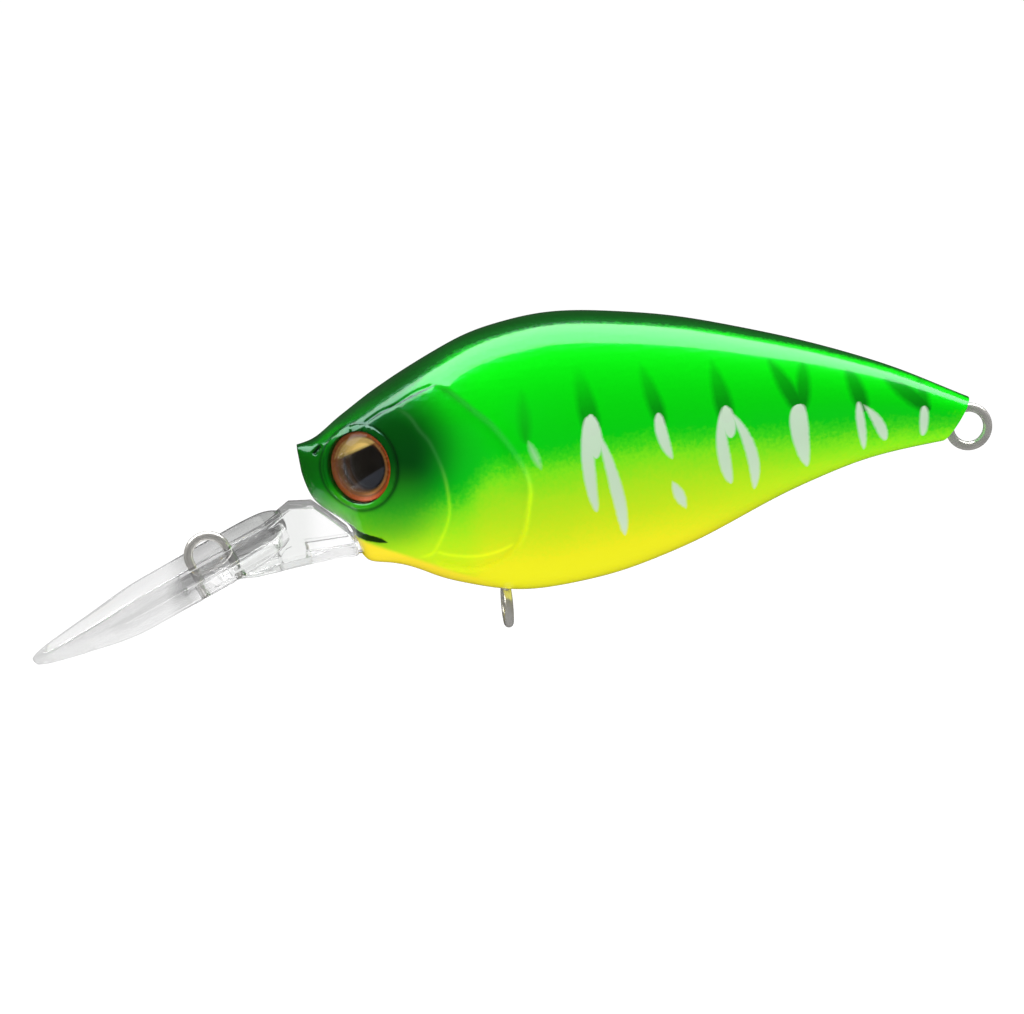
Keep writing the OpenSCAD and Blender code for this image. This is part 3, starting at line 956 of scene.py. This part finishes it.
class LURE_OT_shells(CrankbaitOperator, bpy.types.Operator):
    """Moulds the two painted shells of the body"""

    bl_idname = "lure.shells"
    bl_label = "Painted shells"

    def build(self, scene):
        paint = body_paint(scene.lure_colours)
        for side, name in ((-1, "left"), (1, "right")):
            shell = make_shell(side, scene.lure_sizes)
            mark_relief(shell)
            finish_piece(shell, "lure", [name + "_shell"], paint, 32)


LIP_SLOPE = math.radians(24.7)
LIP_REACH, LIP_HALF, LIP_THICK = 19.6, 10.4, 1.7
LIP_OUTLINE = [(-1, 0), (-0.985, 0.14), (-0.93, 0.29), (-0.83, 0.45), (-0.68, 0.66),
               (-0.5, 0.93), (-0.36, 1), (-0.1, 1), (0.1, 1), (0.2, 0.985), (0.3, 0.9),
               (0.36, 0.72), (0.4, 0.5)]
NECK_SIDE = [(-1, -2.1), (3.5, 0.9), (8.2, 4.15), (10.4, 4.05), (12.0, 2.7), (13.65, 1.2),
             (13.95, 0.5), (14.3, 0.5), (14.3, -0.9), (12.6, -0.9), (9.6, -1.3), (4.4, -2.05)]
FLANGE_SIDE = [(-1, -2.0), (1.0, -1.3), (8.0, 0.15), (12.0, 0.25), (14.1, 0.4), (14.1, -0.85),
               (12.6, -0.85), (9.6, -1.25), (4.4, -2.0)]
TONGUE_SIDE = [(12.8, 0.45), (20.5, 0.45), (20.5, -0.85), (12.8, -0.85)]
RIB_SIDE = [(-3.6, -3.4), (2.8, -3.4), (2.8, -0.6), (-3.6, -0.6)]
RECESS, RECESS_AT = [(1.3, -0.5), (1.55, -0.3), (1.7, 0.5)], (8.2, -0.7)
NECK_HALF, FLANGE_HALF, RIB_HALF = 3.15, 3.6, 1.3
LIP_TOP, THIN_FROM, THIN_SHARE = -0.2, 6.0, 0.58
TIE_LEG, GROOVE_FIT = [(0.75, -2.1), (1, -1.98), (1, 0.02)], 0.03
LIP_FRAME = Matrix.Rotation(-LIP_SLOPE, 4, "Y")


def thin_tip(lip):
    """Lifts the underside of the plate towards its tip, where it is less than half as thick."""
    for v in lip.data.vertices:
        ahead = min(max((-v.co.x / MM - THIN_FROM) / (LIP_REACH - THIN_FROM), 0.0), 1.0)
        depth = LIP_TOP * MM - v.co.y
        v.co.y = LIP_TOP * MM - depth * (1 - THIN_SHARE * ahead * ahead)


class LURE_OT_lip(CrankbaitOperator, bpy.types.Operator):
    """Moulds the clear diving lip with its neck and tongue"""

    bl_idname = "lure.lip"
    bl_label = "Diving lip"

    def build(self, scene):
        half = [(s * LIP_REACH, w * LIP_HALF) for s, w in LIP_OUTLINE]
        half = half[:1] + [(s, min(w, LIP_HALF)) for s, w in smooth_path(half[1:], 5)]
        outline = half + [(s, -w) for s, w in reversed(half[1:])]
        lay = Matrix(((1, 0, 0, 0), (0, 0, 1, 0), (0, 1, 0, 0), (0, 0, 0, 1)))
        lip = prism("clear_diving_lip", outline, LIP_TOP - LIP_THICK, LIP_TOP, 0.4, 4)
        thin_tip(lip)
        place(lip, LIP_FRAME @ lay)
        combine(lip, prism("neck", NECK_SIDE, -NECK_HALF, NECK_HALF, 0.5, 4), "UNION")
        combine(lip, prism("flange", FLANGE_SIDE, -FLANGE_HALF, FLANGE_HALF, 0.25, 3), "UNION")
        combine(lip, prism("tongue", TONGUE_SIDE, -TONGUE_HALF, TONGUE_HALF, 0.2, 3), "UNION")
        rib = prism("rib", RIB_SIDE, -RIB_HALF, RIB_HALF, 0.35, 3)
        combine(lip, place(rib, LIP_FRAME), "UNION")
        for side in (-1, 1):
            at = Matrix.Translation((RECESS_AT[0], side * FLANGE_HALF, RECESS_AT[1]))
            turn = Matrix.Rotation(-side * math.pi / 2, 4, "X")
            combine(lip, place(lathe("recess", RECESS, 48), at @ turn), "DIFFERENCE")
        combine(lip, tie_wire("groove", WIRE_RADIUS + GROOVE_FIT), "DIFFERENCE")
        # The grey colour is painted shade on the lip's neck
        plastic = clear_plastic("Clear polycarbonate", (0.85, 0.865, 0.85), 0.05, 1.5, 0.15,
                                (0.33, 0.8))
        finish_piece(lip, "lure", ["diving_lip"], plastic, 30)


def tie_wire(name, thickness):
    """The half loop of the line tie and its legs, in the lip."""
    wire = wire_ring(name, TAIL_LOOP, thickness, 180.0, 64)
    place(wire, Matrix.Rotation(-math.pi / 2, 4, "X"))
    for x in (-TAIL_LOOP, TAIL_LOOP):
        leg = lathe("leg", [(thickness * r, z) for r, z in TIE_LEG], 24)
        combine(wire, place(leg, Matrix.Translation((x, 0, 0))), "UNION")
    return place(wire, LIP_FRAME)


class LURE_OT_wires(CrankbaitOperator, bpy.types.Operator):
    """Bends the line tie and the belly and tail hangers"""

    bl_idname = "lure.wires"
    bl_label = "Wire eyes"

    def build(self, scene):
        steel = metal("Stainless wire", (0.85, 0.83, 0.79), (0.68, 0.66, 0.62), 0.22, 0.65, 0.8,
                      0.02)
        tie = tie_wire("line_tie_wire", WIRE_RADIUS)
        finish_piece(tie, "lure", ["line_tie"], steel, 40)
        ahead_up = Vector((-math.cos(ANCHOR_TURN), 0, math.sin(ANCHOR_TURN)))
        tail_anchor = TAIL_EYE + 2 * TAIL_LOOP * ahead_up
        belly_anchor = BELLY_EYE + Vector((0, 0, 2 * BELLY_LOOP))
        for name, node, eye, anchor, loop, about in (
                ("tail_hanger_wire", "tail_hanger", TAIL_EYE, tail_anchor, TAIL_LOOP, "X"),
                ("belly_hanger_wire", "belly_hanger", BELLY_EYE, belly_anchor, BELLY_LOOP,
                 "Y")):
            wire = hanger_ring(name, eye, loop, WIRE_RADIUS, about)
            combine(wire, hanger_ring("anchor", anchor, loop, WIRE_RADIUS, about), "UNION")
            finish_piece(wire, "lure", [node], steel, 40)


class LURE_OT_eyes(CrankbaitOperator, bpy.types.Operator):
    """Turns the foil iris, the pupil and the clear dome of each eye"""

    bl_idname = "lure.eyes"
    bl_label = "Moulded eyes"

    def build(self, scene):
        dome = clear_plastic("Clear eye resin", (1.0, 0.985, 0.96), 0.0, 1.45, 0.02,
                             (0.3, 0.3))
        iris_shape = [(radius, EYE_FLOOR + height) for radius, height in IRIS]
        pupil_shape = closed_dome(PUPIL_RADIUS, 0.58, 20, EYE_FLOOR + 0.5)
        base = EYE_FLOOR + 0.9
        for side, name in ((-1, "left"), (1, "right")):
            at = eye_frame(side)
            iris = place(lathe(name + "_foil_iris", iris_shape, 128), at)
            finish_piece(iris, "lure", [name + "_eye_iris"], iris_foil(side), 35)
            pupil = place(lathe(name + "_domed_pupil", pupil_shape, 96), at)
            finish_piece(pupil, "lure", [name + "_eye_pupil"],
                         pupil_enamel(side), 35)
            lens = lathe(name + "_clear_lens", closed_dome(FOIL_RADIUS, 1.38, 28, base), 128)
            hollow = lathe("hollow", closed_dome(HOLLOW_RADIUS, 0.42, 14, base - 0.02), 96)
            combine(lens, hollow, "DIFFERENCE")
            finish_piece(place(lens, at), "lure", [name + "_eye_lens"], dome, 35)


class LURE_OT_insides(CrankbaitOperator, bpy.types.Operator):
    """Finishes the ballast, the magnet and the loose balls inside the body"""

    bl_idname = "lure.insides"
    bl_label = "Ballast and balls"

    def build(self, scene):
        finishes = {
            "ballast_brass": metal("Turned brass", (0.75, 0.52, 0.2), (0.5, 0.32, 0.1), 0.28),
            "ball_steel": metal("Bright ball steel", (0.72, 0.72, 0.73), (0.5, 0.5, 0.51), 0.12),
            "rolling_metal": metal("Dull tungsten", (0.33, 0.33, 0.35), (0.2, 0.2, 0.21), 0.3),
            "magnet": metal("Plated magnet", (0.45, 0.45, 0.47), (0.28, 0.28, 0.3), 0.22)}
        for node in NODES.values():
            for slot in node.material_slots:
                if slot.material and slot.material.name in finishes:
                    slot.material = finishes[slot.material.name]


FLOOR_RADIUS, FLOOR_HEIGHT = 6.0, -0.06
# Soft lights: name, place, target, width and depth in millimetres, power, shown in reflections
LIGHTS = [
    ("overhead", Vector((30, 23, 300)), Vector((30, 23, 0)), 1000, 207, 4.4, True),
    ("front", Vector((-60, -330, 60)), Vector((25, 0, 0)), 200, 200, 0.16, False),
]
VIEW_TURN, VIEW_RISE, VIEW_ROLL = (math.radians(angle) for angle in (-5, 9, 4.4))
VIEW_TARGET, VIEW_DISTANCE, VIEW_LENS = Vector((29.6, 0, 2.0)) * MM, 0.3715, 135
# White of the surroundings, and how far they dim as light, mirrored, and through clear plastic
WHITE, DIM_LIGHT, DIM_MIRRORED, DIM_FORWARD = 1.05, -0.75, -0.97, -0.7


class LURE_OT_stage(CrankbaitOperator, bpy.types.Operator):
    """Lays the pale floor, and sets the soft lights, the surroundings and the camera"""

    bl_idname = "lure.stage"
    bl_label = "Stage"

    def build(self, scene):
        start_fresh()
        bpy.ops.mesh.primitive_circle_add(vertices=96, radius=FLOOR_RADIUS, fill_type="NGON",
                                          location=(0, 0, FLOOR_HEIGHT))
        floor = take("pale_floor")
        material, n, shader = new_material(
            "Pale floor", Roughness=0.9, Emission_Color=(1, 1, 1, 1), Emission_Strength=0.97)
        place_, _, _, _ = n.object_mm()
        n.put(shader.inputs["Base Color"], n.mix(n.noise(place_, 0.01), (0.1, 0.1, 0.1),
                                                 (0.12, 0.12, 0.12)))
        floor.data.materials.append(material)
        floor.visible_glossy = floor.visible_transmission = False
        for light in LIGHTS:
            soft_light(*light)
        surroundings(scene)
        camera_data = bpy.data.cameras.new("camera")
        camera = bpy.data.objects.new("camera", camera_data)
        scene.collection.objects.link(camera)
        camera_data.lens, camera_data.sensor_width = VIEW_LENS, 36
        camera_data.clip_start, camera_data.clip_end = 0.01, 20
        back = Vector((math.sin(VIEW_TURN) * math.cos(VIEW_RISE),
                       -math.cos(VIEW_TURN) * math.cos(VIEW_RISE), math.sin(VIEW_RISE)))
        camera.location = VIEW_TARGET + back * VIEW_DISTANCE
        camera.rotation_mode = "QUATERNION"
        turn = Matrix.Rotation(-VIEW_ROLL, 3, "Z").to_quaternion()
        camera.rotation_quaternion = (-back).to_track_quat("-Z", "Y") @ turn
        scene.camera = camera
        scene.view_settings.view_transform = "Standard"


def soft_light(name, at, target, wide, deep, power, glossy):
    data = bpy.data.lights.new(name, "AREA")
    data.shape = "RECTANGLE"
    data.size, data.size_y = wide * MM, deep * MM
    data.energy = power
    light = bpy.data.objects.new(name, data)
    bpy.context.scene.collection.objects.link(light)
    light.location = at * MM
    back = (at - target).normalized()
    right = (Vector((1, 0, 0)) - back * back.x).normalized()
    light.rotation_mode = "QUATERNION"
    axes = Matrix((right, back.cross(right), back)).transposed()
    light.rotation_quaternion = axes.to_quaternion()
    light.visible_glossy = glossy
    light.visible_camera = False


def surroundings(scene):
    """White to the eye, soft as light, dark in mirrored rays, and dimmer towards the front for
    rays that have passed through clear plastic."""
    world = bpy.data.worlds.new("white_surroundings")
    world.use_nodes = True
    scene.world = world
    n = Nodes(world.node_tree)
    background = world.node_tree.nodes["Background"]
    path = n.add("ShaderNodeLightPath").outputs
    strength = n.times(path["Is Diffuse Ray"], DIM_LIGHT, WHITE)
    mirrored = n.times(path["Is Glossy Ray"], n.less(1.0, path["Is Transmission Ray"]))
    strength = n.times(strength, n.times(mirrored, DIM_MIRRORED, 1.0))
    way = n.add("ShaderNodeSeparateXYZ")
    n.put(way.inputs[0], n.add("ShaderNodeTexCoord").outputs["Generated"])
    ahead = n.less(1.0, n.between(way.outputs[1], -0.4, 0.2))
    ahead = n.times(ahead, path["Is Transmission Ray"])
    strength = n.times(strength, n.times(ahead, DIM_FORWARD, 1.0))
    n.put(background.inputs["Strength"], strength)
    background.inputs["Color"].default_value = (1, 1, 1, 1)


class LURE_PT_panel(bpy.types.Panel):
    """Lists the pieces of the lure and their sizes and colours"""

    bl_idname = "LURE_PT_panel"
    bl_label = "Crankbait"
    bl_space_type = "VIEW_3D"
    bl_region_type = "UI"
    bl_category = "Crankbait"

    def draw(self, context):
        for group in (context.scene.lure_sizes, context.scene.lure_colours):
            box = self.layout.box()
            for name in group.bl_rna.properties.keys():
                if name not in {"rna_type", "name"}:
                    box.prop(group, name)
        for operator in OPERATORS:
            self.layout.operator(operator.bl_idname)


OPERATORS = (LURE_OT_shells, LURE_OT_lip, LURE_OT_wires, LURE_OT_eyes, LURE_OT_insides,
             LURE_OT_stage)
CLASSES = (LureSizes, LureColours, *OPERATORS, LURE_PT_panel)


def register():
    for cls in CLASSES:
        bpy.utils.register_class(cls)
    bpy.types.Scene.lure_sizes = PointerProperty(type=LureSizes)
    bpy.types.Scene.lure_colours = PointerProperty(type=LureColours)


def unregister():
    del bpy.types.Scene.lure_sizes
    del bpy.types.Scene.lure_colours
    for cls in reversed(CLASSES):
        bpy.utils.unregister_class(cls)


def main():
    register()
    for operator in (bpy.ops.lure.stage, bpy.ops.lure.shells, bpy.ops.lure.lip,
                     bpy.ops.lure.wires, bpy.ops.lure.eyes, bpy.ops.lure.insides):
        operator()


if __name__ == "__main__":
    main()
